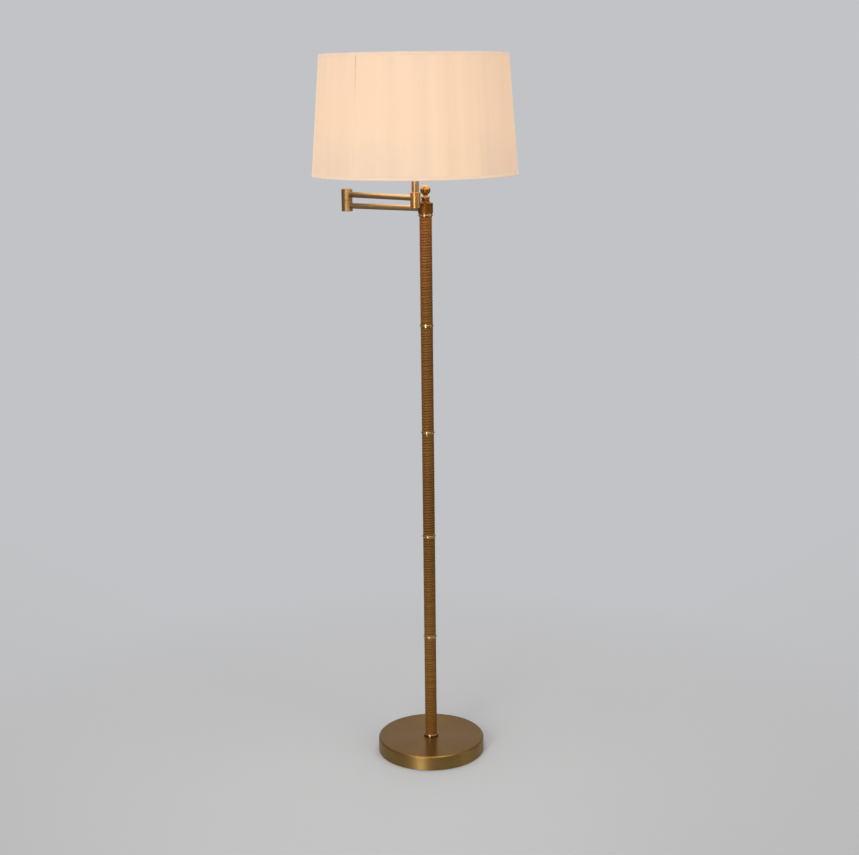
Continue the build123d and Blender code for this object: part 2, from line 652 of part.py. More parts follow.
def lampholder_core():
    core = disc(CORE_DIAMETER, CORE_BOTTOM, CORE_TOP)
    return Pos(*HUB) * (core - switch_way())


def lampholder_screw_shell():
    bore = SCREW_SHELL_DIAMETER - 2 * SCREW_SHELL_WALL
    return Pos(*HUB) * disc(SCREW_SHELL_DIAMETER, CORE_TOP, CORE_TOP + SCREW_SHELL_HEIGHT, bore)


def lampholder_contact():
    """The sprung centre contact, a strip bent up from the core."""
    foot = Box(
        CONTACT_LENGTH / 2,
        CONTACT_WIDTH,
        CONTACT_THICKNESS,
        align=(Align.MIN, Align.CENTER, Align.MIN),
    )
    riser = Box(
        CONTACT_THICKNESS,
        CONTACT_WIDTH,
        CONTACT_RISE + CONTACT_THICKNESS,
        align=(Align.MIN, Align.CENTER, Align.MIN),
    )
    tongue = Pos(-CONTACT_LENGTH / 2, 0, CONTACT_RISE) * Box(
        CONTACT_LENGTH / 2 + CONTACT_LENGTH / 4,
        CONTACT_WIDTH,
        CONTACT_THICKNESS,
        align=(Align.MIN, Align.CENTER, Align.MIN),
    )
    strip = Pos(-CONTACT_LENGTH / 2, 0, 0) * (foot + riser) + tongue
    return Pos(*HUB) * Pos(0, 0, CORE_TOP) * strip


def switch_bar():
    """The push-through bar, drawn pushed to the left, with a button at each end."""
    face = HOLDER_DIAMETER / 2 + SWITCH_TRAVEL / 2 + SWITCH_CLEARANCE
    end = face + SWITCH_BUTTON_LENGTH
    bar = rod(SWITCH_BAR_DIAMETER, 0, -face, face, SWITCH_Z)
    for side in (0, 180):
        button = rod(SWITCH_BUTTON_DIAMETER, side, face, end, SWITCH_Z)
        outer_edge = button.edges().filter_by(GeomType.CIRCLE).sort_by(lambda edge: abs(edge.center().X))[-1]
        bar += fillet(outer_edge, SWITCH_BUTTON_DIAMETER / 8)
    return Pos(*HUB) * Pos(-SWITCH_TRAVEL / 2, 0, 0) * bar


def bulb_cap():
    tip = BULB_TIP_DIAMETER / 2
    outer = BULB_CAP_DIAMETER / 2
    return Pos(*HUB) * polygon_turned(
        (0, BULB_TIP_Z),
        (tip, BULB_TIP_Z),
        (tip + 1, BULB_TIP_Z + BULB_TIP_HEIGHT * 0.4),
        (outer - 1, BULB_CAP_BOTTOM),
        (outer, BULB_CAP_BOTTOM + 1),
        (outer, GLASS_BOTTOM),
        (0, GLASS_BOTTOM),
    )


def bulb_glass():
    """The pear-shaped envelope, open at its neck on the cap."""

    def skin(inset):
        neck = BULB_NECK_DIAMETER / 2 - inset
        belly = BULB_DIAMETER / 2 - inset
        top = GLASS_BOTTOM + BULB_LENGTH - inset
        centre = GLASS_BOTTOM + BULB_LENGTH - BULB_DIAMETER / 2
        flare = Spline((neck, 0, GLASS_BOTTOM), (belly, 0, centre), tangents=[(0.05, 0, 1), (0, 0, 1)])
        crown = ThreePointArc(
            (belly, 0, centre), (belly * math.sqrt(0.5), 0, centre + belly * math.sqrt(0.5)), (0, 0, top)
        )
        axis = Polyline((0, 0, top), (0, 0, GLASS_BOTTOM), (neck, 0, GLASS_BOTTOM))
        return turned(flare, crown, axis)

    return Pos(*HUB) * (skin(0.0) - skin(BULB_WALL))


# Shade and its fitting, about the hub's axis


def shade_radius(height, inset=0.0):
    """Radius of the shade's slanting wall at a height above its lower edge."""
    share = height / SHADE_HEIGHT
    return (SHADE_BOTTOM_DIAMETER + (SHADE_TOP_DIAMETER - SHADE_BOTTOM_DIAMETER) * share) / 2 - inset


def slant_band(low, high, outside, inside):
    """A thin conical band of the shade's wall, between two heights and two insets."""
    return polygon_turned(
        (shade_radius(low, inside), SHADE_BOTTOM + low),
        (shade_radius(low, outside), SHADE_BOTTOM + low),
        (shade_radius(high, outside), SHADE_BOTTOM + high),
        (shade_radius(high, inside), SHADE_BOTTOM + high),
    )


# A level cut through the slanting wall is longer than the wall is thick.
LEVEL_CUT = math.hypot(1, (SHADE_BOTTOM_DIAMETER - SHADE_TOP_DIAMETER) / 2 / SHADE_HEIGHT)
FABRIC_INSET = TRIM_THICKNESS + SKIN_GAP
LINING_INSET = FABRIC_INSET + FABRIC_THICKNESS + SKIN_GAP
WIRE_INSET = LINING_INSET + LINING_THICKNESS + SKIN_GAP
TRIM_INSET = WIRE_INSET + WIRE_DIAMETER * LEVEL_CUT + SKIN_GAP
HEM = TRIM_THICKNESS + SKIN_GAP


def shade_cover():
    return Pos(*HUB) * slant_band(HEM, SHADE_HEIGHT - HEM, FABRIC_INSET, FABRIC_INSET + FABRIC_THICKNESS)


def shade_lining():
    return Pos(*HUB) * slant_band(HEM, SHADE_HEIGHT - HEM, LINING_INSET, LINING_INSET + LINING_THICKNESS)


def wire_height(top):
    """Height of a frame wire's axis above the shade's lower edge."""
    inset = HEM + WIRE_DIAMETER / 2 + SKIN_GAP
    return SHADE_HEIGHT - inset if top else inset


def wire_radius(top):
    return shade_radius(wire_height(top), WIRE_INSET) - WIRE_DIAMETER / 2 * LEVEL_CUT


def wire_ring(top):
    return Pos(*HUB) * Pos(0, 0, SHADE_BOTTOM + wire_height(top)) * Torus(wire_radius(top), WIRE_DIAMETER / 2)


def shade_trim(top):
    """A tape folded over the edge of the fabric and the frame wire."""
    low, high = (SHADE_HEIGHT - TRIM_HEIGHT, SHADE_HEIGHT) if top else (0.0, TRIM_HEIGHT)
    tape = slant_band(low, high, 0.0, TRIM_INSET + TRIM_THICKNESS)
    inner_low, inner_high = (low - 1, high - TRIM_THICKNESS) if top else (low + TRIM_THICKNESS, high + 1)
    return Pos(*HUB) * (tape - slant_band(inner_low, inner_high, TRIM_THICKNESS, TRIM_INSET))


def fitter_ring():
    bore = HOLDER_DIAMETER + 2 * FIXED_FIT
    return Pos(*HUB) * disc(FITTER_DIAMETER, FITTER_Z, FITTER_Z + FITTER_THICKNESS, bore)


def shade_ring(bottom):
    """One of the two screwed rings that clamp the fitter on the lampholder."""
    bore = HOLDER_DIAMETER + 2 * FIXED_FIT
    ring = disc(SHADE_RING_DIAMETER, bottom, bottom + SHADE_RING_THICKNESS, bore)
    outer = ring.edges().filter_by(GeomType.CIRCLE).group_by(SortBy.RADIUS)[-1]
    return Pos(*HUB) * chamfer(outer, SHADE_RING_THICKNESS / 6)


def spoke_bars(diameter):
    """The round bars from the fitter ring out and down to the shade's lower wire."""
    rim = wire_height(False)
    level = FITTER_Z + FITTER_THICKNESS / 2
    inner = SHADE_RING_DIAMETER / 2 + LOOSE_FIT
    outer = wire_radius(False)
    foot = Plane.YZ.offset(inner) * Pos(0, level, 0) * Circle(diameter / 2)
    line = FilletPolyline(
        (inner, 0, level),
        (inner + SPOKE_RUN, 0, level),
        (outer, 0, SHADE_BOTTOM + rim),
        radius=SPOKE_DIAMETER * 2,
    )
    bar = sweep(foot, path=line)
    return [Pos(*HUB) * Rot(0, 0, FIRST_SPOKE + 360 / SPOKES * index) * bar for index in range(SPOKES)]


def shade_spokes():
    """The spokes, each soldered to the edge of the fitter ring and to the lower wire."""
    seats = [fitter_ring(), wire_ring(False)]
    return Compound(children=[bar - seats for bar in spoke_bars(SPOKE_DIAMETER)])


def shade_bottom_trim():
    """The lower tape, notched where the spokes reach the wire."""
    return shade_trim(False) - spoke_bars(SPOKE_DIAMETER + 2 * LOOSE_FIT)


def build():
    """Every separate piece of the lamp by name, in its place."""
    pieces = {
        "base_felt": base_felt(),
        "base_weight": base_weight(),
        "base_cover": base_cover(),
        "base_washer": disc(
            WASHER_DIAMETER, NUT_WELL_TOP - WASHER_THICKNESS, NUT_WELL_TOP, TUBE_DIAMETER + 2 * FIXED_FIT
        ),
        "base_nut": hexagon_nut(
            NUT_FLATS,
            NUT_WELL_TOP - WASHER_THICKNESS - NUT_THICKNESS,
            NUT_WELL_TOP - WASHER_THICKNESS,
            TUBE_DIAMETER + 2 * FIXED_FIT,
        ),
        "cord_bush": cord_bush(),
        "column_tube": disc(TUBE_DIAMETER, TUBE_BOTTOM, COLUMN_TOP, TUBE_DIAMETER - 2 * TUBE_WALL),
        "base_collar": bead_ring(BASE_COLLAR_DIAMETER, ring_bottom(0)),
        "top_collar": bead_ring(TOP_COLLAR_DIAMETER, ring_bottom(SECTIONS)),
        "head_spindle": head_spindle(),
        "head_stop_pin": Pos(*head_stop())
        * stop_pin(FLANGE_TOP - STOP_PIN_SEAT, FLANGE_TOP + STOP_PIN_ENGAGEMENT),
        "head_thrust_washer": disc(
            THRUST_WASHER_DIAMETER, FLANGE_TOP, DRUM_SEAT, SPINDLE_DIAMETER + 2 * FIXED_FIT
        ),
        "finial_washer": disc(
            DRUM_NECK_DIAMETER - FACE_GAP, DRUM_TOP, FINIAL_BOTTOM, STUD_DIAMETER + 2 * FIXED_FIT
        ),
        "finial": finial(),
        "head_drum": head_drum(),
        "lower_arm_tube": lower_arm_tube(),
        "elbow_lower_knuckle": elbow_lower_knuckle(),
        "elbow_pin": elbow_pin(),
        "elbow_stop_pin": Pos(*ELBOW)
        * Pos(*elbow_stop())
        * stop_pin(KNUCKLE_JOINT_Z - 2 * STOP_PIN_SEAT, UPPER_KNUCKLE_Z + STOP_PIN_ENGAGEMENT),
        "elbow_washer": elbow_washer(),
        "elbow_spring_washer": Pos(*ELBOW)
        * disc(PIN_HEAD_DIAMETER, ELBOW_NUT_SEAT, ELBOW_NUT_BOTTOM, PIN_THREAD_DIAMETER + 2 * FIXED_FIT),
        "elbow_nut": Pos(*ELBOW)
        * hexagon_nut(ELBOW_NUT_FLATS, ELBOW_NUT_BOTTOM, ELBOW_NUT_TOP, PIN_THREAD_DIAMETER + 2 * FIXED_FIT),
        "elbow_lower_cap": elbow_cap(KNUCKLE_JOINT_Z - KNUCKLE_HEIGHT, -1),
        "elbow_upper_knuckle": elbow_upper_knuckle(),
        "elbow_upper_cap": elbow_cap(UPPER_KNUCKLE_Z + KNUCKLE_HEIGHT, 1),
        "upper_arm_tube": upper_arm_tube(),
        "lamp_hub": lamp_hub(),
        "hub_plug": hub_plug(),
        "riser_tube": riser_tube(),
        "lampholder_cap": lampholder_cap(),
        "lampholder_shell": lampholder_shell(),
        "lampholder_core": lampholder_core(),
        "lampholder_screw_shell": lampholder_screw_shell(),
        "lampholder_contact": lampholder_contact(),
        "switch_bar": switch_bar(),
        "shade_ring_lower": shade_ring(FITTER_Z - SHADE_RING_THICKNESS),
        "shade_ring_upper": shade_ring(FITTER_Z + FITTER_THICKNESS),
        "fitter_ring": fitter_ring(),
        "shade_spokes": shade_spokes(),
        "shade_bottom_wire": wire_ring(False),
        "shade_top_wire": wire_ring(True),
        "shade_cover": shade_cover(),
        "shade_lining": shade_lining(),
        "shade_bottom_trim": shade_bottom_trim(),
        "shade_top_trim": shade_trim(True),
        "bulb_cap": bulb_cap(),
        "bulb_glass": bulb_glass(),
    }
    for index in range(1, SECTIONS):
        pieces[f"column_ring_{index}"] = bead_ring(RING_DIAMETER, ring_bottom(index))
    strip = bound_strip()
    for index in range(SECTIONS):
        pieces[f"column_binding_{index + 1}"] = Pos(0, 0, ring_bottom(index) + RING_HEIGHT) * strip
    return pieces


os.makedirs("parts", exist_ok=True)
for name, piece in build().items():
    export_step(piece, f"parts/{name}.step")
print("least gap of the binding to itself:", round(least_strip_gap(), 2), "mm")
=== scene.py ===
"""The looks of an adjustable arm floor lamp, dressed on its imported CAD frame, in metres.

The lamp is lit: the shade glows, and a warm lamp inside it lights the arm and the top of the column.
"""

import json
import math
import random

import bpy
from mathutils import Matrix, Vector

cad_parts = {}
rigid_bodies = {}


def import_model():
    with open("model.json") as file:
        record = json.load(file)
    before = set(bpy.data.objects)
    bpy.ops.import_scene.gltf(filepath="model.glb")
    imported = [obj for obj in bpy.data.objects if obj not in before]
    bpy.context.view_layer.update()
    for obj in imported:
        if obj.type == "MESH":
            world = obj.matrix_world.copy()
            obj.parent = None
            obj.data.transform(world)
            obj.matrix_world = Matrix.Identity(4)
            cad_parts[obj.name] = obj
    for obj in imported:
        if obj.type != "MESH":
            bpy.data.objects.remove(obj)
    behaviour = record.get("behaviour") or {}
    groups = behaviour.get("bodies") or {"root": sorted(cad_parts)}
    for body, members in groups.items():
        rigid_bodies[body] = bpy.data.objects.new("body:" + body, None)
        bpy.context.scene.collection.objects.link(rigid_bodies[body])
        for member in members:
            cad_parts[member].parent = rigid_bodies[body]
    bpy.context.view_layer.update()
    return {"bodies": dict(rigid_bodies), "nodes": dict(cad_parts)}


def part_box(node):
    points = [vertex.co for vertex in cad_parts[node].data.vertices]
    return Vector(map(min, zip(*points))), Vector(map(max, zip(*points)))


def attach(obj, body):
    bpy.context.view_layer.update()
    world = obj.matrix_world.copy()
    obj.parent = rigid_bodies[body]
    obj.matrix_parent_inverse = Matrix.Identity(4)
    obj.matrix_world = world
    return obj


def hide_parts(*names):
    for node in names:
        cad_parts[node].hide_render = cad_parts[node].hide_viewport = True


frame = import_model()
nodes = frame["nodes"]
scene = bpy.context.scene
MM = 0.001


def middle(node):
    """The centre of a CAD node's box."""
    low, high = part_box(node)
    return (low + high) / 2


def half_width(node):
    """Half the width of a CAD node's box, along X."""
    low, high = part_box(node)
    return (high.x - low.x) / 2


# Places and sizes, most of them read from the frame
COLUMN_AXIS = Vector()
COLUMN_RINGS = [f"column_ring_{index}" for index in range(1, 5)]
ELBOW_AXIS = middle("elbow_lower_knuckle")
HUB_AXIS = middle("lamp_hub")
BULB = middle("bulb_glass")
CANE_CLEARANCE = 0.1 * MM  # from the tube that the cane is wound on
CANE_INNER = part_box("column_tube")[1].x + CANE_CLEARANCE
CANE_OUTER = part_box("column_binding_1")[1].x
SHADE_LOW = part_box("shade_bottom_trim")[0].z
SHADE_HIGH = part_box("shade_top_trim")[1].z
SHADE_HEIGHT = SHADE_HIGH - SHADE_LOW
SHADE_TAPER = 20.75 * MM  # by which the radius shrinks from the lower edge to the upper
SHADE_BOTTOM_RADIUS = half_width("shade_bottom_trim")
SHADE_TOP_RADIUS = SHADE_BOTTOM_RADIUS - SHADE_TAPER
SEAM_PLACE = 34.6  # degrees left of the front, where the fabric's join is seen
SEAM_EDGE = math.radians(-90 - SEAM_PLACE)
SEAM_OVERLAP = 14 * MM

# Nodes and materials


class Graph:
    """A node tree, with a few short ways to add and join nodes."""

    def __init__(self, tree):
        self.tree = tree

    def add(self, kind, inputs=(), **settings):
        """A new node with its settings and inputs."""
        made = self.tree.nodes.new(kind)
        for key, value in settings.items():
            setattr(made, key, value)
        for key, value in dict(inputs).items():
            self.feed(made.inputs[key], value)
        return made

    def feed(self, socket, value):
        """Sets a socket to a constant, or joins it to another node's output."""
        if isinstance(value, bpy.types.NodeSocket):
            self.tree.links.new(value, socket)
        else:
            socket.default_value = value

    def point(self):
        """The object's own coordinates: the frame's, as the object rests."""
        return self.add("ShaderNodeTexCoord").outputs["Object"]

    def split(self, vector):
        """The X, Y and Z of a vector."""
        return self.add("ShaderNodeSeparateXYZ", {0: vector}).outputs[:]

    def join(self, **parts):
        """A vector from its X, Y and Z."""
        return self.add("ShaderNodeCombineXYZ", parts).outputs[0]

    def place(self, scale, turn=0.0):
        """The object's own coordinates, stretched by a scale along axes that are turned about Z."""
        mapping = self.add("ShaderNodeMapping", {"Vector": self.point(), "Scale": scale})
        mapping.vector_type = "TEXTURE" if turn else "POINT"
        if turn:
            mapping.inputs["Rotation"].default_value = (0, 0, turn)
            mapping.inputs["Scale"].default_value = [1 / value for value in scale]
        return mapping.outputs["Vector"]

    def noise(self, vector, detail, roughness, scale=1.0):
        """Soft noise, most of it between 0.3 and 0.7."""
        inputs = {"Vector": vector, "Scale": scale, "Detail": detail, "Roughness": roughness}
        return self.add("ShaderNodeTexNoise", inputs).outputs["Fac"]

    def span(self, value, low, high, start=0.3, end=0.7):
        """Maps start and end, by default those of noise, to low and high, and holds what lies beyond."""
        inputs = {"Value": value, "From Min": start, "From Max": end, "To Min": low, "To Max": high}
        return self.add("ShaderNodeMapRange", inputs).outputs["Result"]

    def blend(self, share, first, second, mode="MIX"):
        """Two colours blended by the share of the second."""
        mix = self.add("ShaderNodeMix", data_type="RGBA", blend_type=mode)
        for index, value in ((0, share), (6, first), (7, second)):
            self.feed(mix.inputs[index], value)
        return mix.outputs[2]

    def ramp(self, share, colours):
        """Evenly spaced colours, blended from 0 to 1."""
        made = self.add("ShaderNodeValToRGB", {"Fac": share})
        stops = made.color_ramp.elements
        while len(stops) < len(colours):
            stops.new(0.5)
        for index, colour in enumerate(colours):
            stops[index].position = index / (len(colours) - 1)
            stops[index].color = colour
        return made.outputs["Color"]

    def maths(self, operation, *values):
        """The result of one sum on numbers or outputs."""
        made = self.add("ShaderNodeMath", operation=operation)
        for index, value in enumerate(values):
            self.feed(made.inputs[index], value)
        return made.outputs[0]

    def distance(self, value, mark):
        """How far a value lies from a mark."""
        return self.maths("ABSOLUTE", self.maths("SUBTRACT", value, mark))

    def bump(self, height, strength, distance):
        """A normal raised by a height of 0 to 1."""
        inputs = {"Height": height, "Strength": strength, "Distance": distance}
        return self.add("ShaderNodeBump", inputs).outputs["Normal"]

    def around(self, axis):
        """Radius, angle and height about an upright axis."""
        ends = {0: self.point(), 1: (axis.x, axis.y, 0)}
        offset = self.add("ShaderNodeVectorMath", ends, operation="SUBTRACT")
        x, y, z = self.split(offset.outputs["Vector"])
        flat = self.join(X=x, Y=y)
        radius = self.add("ShaderNodeVectorMath", {0: flat}, operation="LENGTH").outputs["Value"]
        return radius, self.maths("ARCTAN2", y, x), z


class Shader(Graph):
    """A material with one Principled shader."""

    def __init__(self, name):
        self.material = bpy.data.materials.new(name)
        self.material.use_nodes = True
        super().__init__(self.material.node_tree)
        self.bsdf = self.tree.nodes["Principled BSDF"]

    def set(self, **values):
        """Sets inputs of the Principled shader, with _ for a space."""
        for key, value in values.items():
            self.feed(self.bsdf.inputs[key.replace("_", " ")], value)


def linear(value):
    """The linear light of one sRGB value of 0 to 255."""
    return ((value / 255 + 0.055) / 1.055) ** 2.4 if value > 10 else value / 255 / 12.92


def rgb(red, green, blue):
    """A colour from its sRGB values of 0 to 255, as linear RGBA."""
    return (linear(red), linear(green), linear(blue), 1.0)


# Antique brass, as (clean, darkened, worn bright): olive on the base; the tones nearer the bulb are
# redder, painted warm light from it
BASE_BRASS = ((0.282, 0.171, 0.050, 1.0), (0.208, 0.124, 0.034, 1.0), (0.365, 0.238, 0.083, 1.0))
TOP_BRASS = ((0.285, 0.148, 0.039, 1.0), (0.225, 0.113, 0.028, 1.0), (0.36, 0.205, 0.065, 1.0))
TUBE_BRASS = ((0.32, 0.201, 0.091, 1.0), (0.20, 0.112, 0.036, 1.0), (0.40, 0.268, 0.138, 1.0))
ELBOW_BRASS = ((0.36, 0.219, 0.088, 1.0), (0.275, 0.162, 0.063, 1.0), (0.47, 0.305, 0.132, 1.0))
ARM_BRASS = ((0.31, 0.176, 0.072, 1.0), (0.235, 0.127, 0.047, 1.0), (0.40, 0.242, 0.108, 1.0))
# The hub's tones are brighter still: painted light
HUB_BRASS = ((0.46, 0.230, 0.082, 1.0), (0.35, 0.167, 0.054, 1.0), (0.57, 0.320, 0.135, 1.0))
BALL_BRASS = ((0.33, 0.152, 0.042, 1.0), (0.24, 0.103, 0.026, 1.0), (0.45, 0.236, 0.078, 1.0))
RING_BRASS = ((0.43, 0.270, 0.108, 1.0), (0.31, 0.173, 0.058, 1.0), (0.55, 0.380, 0.182, 1.0))
BRONZE = ((0.135, 0.046, 0.006, 1.0), (0.088, 0.028, 0.003, 1.0), (0.24, 0.102, 0.024, 1.0))
PATINA_SCALE = 34.0  # patches to a metre
UNDERSIDE_SHADE = (-0.7, 0.0)  # the normal's Z where an underside is fully darkened by painted shade, and where it is not darkened
LINE_WEAR = 0.22  # the most that polishing lines are worn
WORN_LINES = (0.35, 0.75)  # noise where the wear of lines starts, and where it is full
EDGE_WEAR = 0.6  # the most that edges are worn
WORN_EDGES = (0.53, 0.62)  # pointiness where the wear of edges starts, and where it is full
LINE_GLOSS = (0.9, 1.12)  # times the roughness, from line to line
LINE_DEPTH = 0.02 * MM
DRAWN_LINES = (14, 1500, 1500)  # to a metre, along and across a drawn tube
TURNED_LINES = 1800.0  # to a metre, across the lines that a lathe leaves
TURNED_DRIFT = 1.1  # changes to a radian, along those lines


def brass(s, lines, roughness, tones, patina):
    """Antique brass: patina in patches, painted shade on undersides, fine lines from polishing, worn
    edges.
    """
    clean, dark, worn = tones
    patches = s.noise(s.point(), detail=5.0, roughness=0.6, scale=PATINA_SCALE)
    surface = s.add("ShaderNodeNewGeometry").outputs
    upward = s.split(surface["Normal"])[2]
    colour = s.blend(s.span(patches, 0.0, patina), clean, dark)
    colour = s.blend(s.span(lines, 0.0, LINE_WEAR, *WORN_LINES), colour, worn)
    colour = s.blend(s.span(surface["Pointiness"], 0.0, EDGE_WEAR, *WORN_EDGES), colour, worn)
    # Painted shade: undersides turn towards the dark tone
    colour = s.blend(s.span(upward, 1.0, 0.0, *UNDERSIDE_SHADE), colour, dark)
    rough = s.span(lines, *[roughness * factor for factor in LINE_GLOSS])
    s.set(Base_Color=colour, Metallic=1.0, Roughness=rough)
    s.set(Normal=s.bump(lines, strength=0.04, distance=LINE_DEPTH))
    return s.material


def drawn_brass(name, turn, roughness, patina):
    """A drawn tube, polished along its length."""
    s = Shader(name)
    lines = s.noise(s.place(DRAWN_LINES, turn), detail=4.0, roughness=0.6)
    return brass(s, lines, roughness, TUBE_BRASS, patina)


def turned_brass(name, centre, tones, roughness, brushed=0.0, patina=0.5):
    """Brass turned on a lathe: fine rings about its upright axis, which draw its highlights out."""
    s = Shader(name)
    radius, angle, height = s.around(centre)
    rings = s.join(
        X=s.maths("MULTIPLY", radius, TURNED_LINES),
        Y=s.maths("MULTIPLY", angle, TURNED_DRIFT),
        Z=s.maths("MULTIPLY", height, TURNED_LINES),
    )
    tangent = s.add("ShaderNodeTangent", direction_type="RADIAL", axis="Z").outputs["Tangent"]
    s.set(Anisotropic=brushed, Anisotropic_Rotation=0.25, Tangent=tangent)
    return brass(s, s.noise(rings, detail=4.0, roughness=0.6), roughness, tones, patina)


# Split cane: its colours, and how many changes of tone there are to a metre along X, Y and Z
CANE_DARK = rgb(98, 61, 18)
CANE_PALE = rgb(146, 97, 35)
CANE_STAIN = rgb(114, 77, 28)
CANE_FIBRE = rgb(63, 38, 16)
# Painted shade in the grooves between the cane's turns
CANE_GROOVE_SHADE = rgb(38, 22, 9)
CANE_LIGHT_BY_HEIGHT = (  # painted light and shade along the column's height, warmest at the top near the bulb: at the base, the four rings and the top
    (0.87, 0.90, 0.85, 1.0), (0.90, 0.96, 1.00, 1.0), (0.68, 0.70, 0.68, 1.0),
    (0.82, 0.86, 0.89, 1.0), (0.86, 0.85, 0.89, 1.0), (0.96, 0.75, 0.84, 1.0),
)
FIBRE_SCALE = (55, 55, 3600)
TURN_SCALE = (4, 4, 165)
STAIN_SCALE = (10, 10, 9)
FIBRE_SHARE = 0.35  # the most of each colour that shows
STAIN_SHARE = 0.45
GROOVE_SHADE_SHARE = 0.55
FIBRE_DEPTH = 0.12 * MM
GROOVE_SHADE_DEPTHS = (0.9 * MM, 0.25 * MM)  # below the crown: where the painted shade in a groove is darkest, and where it starts


def cane():
    """Split cane, varnished: tone changes from turn to turn, fine fibres along the strip, painted shade
    in the grooves, and painted light and shade along the height.
    """
    s = Shader("cane")
    fibres = s.noise(s.place(FIBRE_SCALE), detail=3.0, roughness=0.6)
    turns = s.noise(s.place(TURN_SCALE), detail=2.0, roughness=0.6)
    stain = s.noise(s.place(STAIN_SCALE), detail=2.0, roughness=0.5)
    colour = s.blend(s.span(turns, 0.0, 1.0, start=0.25, end=0.75), CANE_DARK, CANE_PALE)
    colour = s.blend(s.span(stain, 0.0, STAIN_SHARE), colour, CANE_STAIN)
    colour = s.blend(s.span(fibres, 0.0, FIBRE_SHARE, start=0.4, end=0.8), colour, CANE_FIBRE)
    radius, _, height = s.around(COLUMN_AXIS)
    share = s.span(height, 0.0, 1.0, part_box("base_collar")[1].z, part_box("top_collar")[0].z)
    # Painted light and shade along the height
    colour = s.blend(1.0, colour, s.ramp(share, CANE_LIGHT_BY_HEIGHT), "MULTIPLY")
    # Painted shade, darkest deepest in the grooves
    groove_shade = s.span(radius, GROOVE_SHADE_SHARE, 0.0, *[CANE_OUTER - depth for depth in GROOVE_SHADE_DEPTHS])
    colour = s.blend(groove_shade, colour, CANE_GROOVE_SHADE)
    s.set(Base_Color=colour, Roughness=s.span(fibres, 0.40, 0.6), Specular_IOR_Level=0.15)
    s.set(Normal=s.bump(fibres, strength=0.35, distance=FIBRE_DEPTH))
    return s.material


# The shade's colours: what the fabric is by day, and the light that comes through it
FABRIC = (0.26, 0.220, 0.172, 1.0)
FABRIC_SHADOW = (0.22, 0.184, 0.140, 1.0)
GLOW = (0.680, 0.440, 0.290, 1.0)
GLOW_EDGE = (0.640, 0.418, 0.283, 1.0)
GLOW_LOW = (0.570, 0.386, 0.279, 1.0)
GLOW_YELLOW = (0.695, 0.450, 0.262, 1.0)
# Dark: dims the light through the cloth, and is the painted shadow at the join and on the rims' roll
GLOW_DIM_AND_SHADOW = (0.16, 0.10, 0.06, 1.0)
TAPE = (0.26, 0.228, 0.184, 1.0)
TAPE_SHADOW = (0.23, 0.198, 0.156, 1.0)
TAPE_GLOW = (0.585, 0.412, 0.312, 1.0)
LINING = rgb(244, 238, 226)
LINING_SHADOW = rgb(235, 226, 210)
LINING_GLOW = (1.0, 0.82, 0.62, 1.0)
LINING_GLOW_EDGE = (0.72, 0.57, 0.41, 1.0)

# Where they change, in metres: from the bulb's height, from the lower edge, from the join, from a rim
GLOW_REACH = (0.03, 0.16)
LINING_REACH = (0.02, 0.17)
GLOW_LOW_END = 0.4 * SHADE_HEIGHT
SEAM_START = 0.62 * SHADE_HEIGHT
SEAM_WIDTH = (0.4 * MM, 2.6 * MM)
# Painted shade on the tape's roll, from a rim
RIM_FOLD_SHADE = (0.2 * MM, 1.6 * MM)
THREAD_DEPTH = 0.08 * MM  # of the weave's relief

# The most that each changes the fabric's colour, and the light through it
BAND_SHADE = 0.30
BAND_DIM = 0.09
SLUB_SHADE = 0.12
SLUB_DIM = 0.04
SLUBS = (0.4, 0.75)  # noise where a thick thread starts, and where it is full
CLOUD_SHARE = 0.7
GLOW_LOW_SHARE = 0.95
SEAM_SHADE = 0.42
RIB_SHADE = 0.5
TAPE_DIM = 0.08
RIM_SHADE = 0.55


def threads(s, angle, height, across, along):
    """Noise drawn out along one direction of the cloth, in cycles per radian and per metre."""
    stretched = s.join(X=s.maths("MULTIPLY", angle, across), Z=s.maths("MULTIPLY", height, along))
    return s.noise(stretched, detail=3.0, roughness=0.5)


def seam_line(s, angle, height):
    """The join of the silk, a fine shadow that shows most near the top."""
    aside = s.maths("MULTIPLY", s.distance(angle, SEAM_EDGE), SHADE_BOTTOM_RADIUS)
    fade = s.span(height, 0.0, SEAM_SHADE, SHADE_LOW + SEAM_START, SHADE_HIGH)
    return s.maths("MULTIPLY", s.span(aside, 1.0, 0.0, *SEAM_WIDTH), fade)


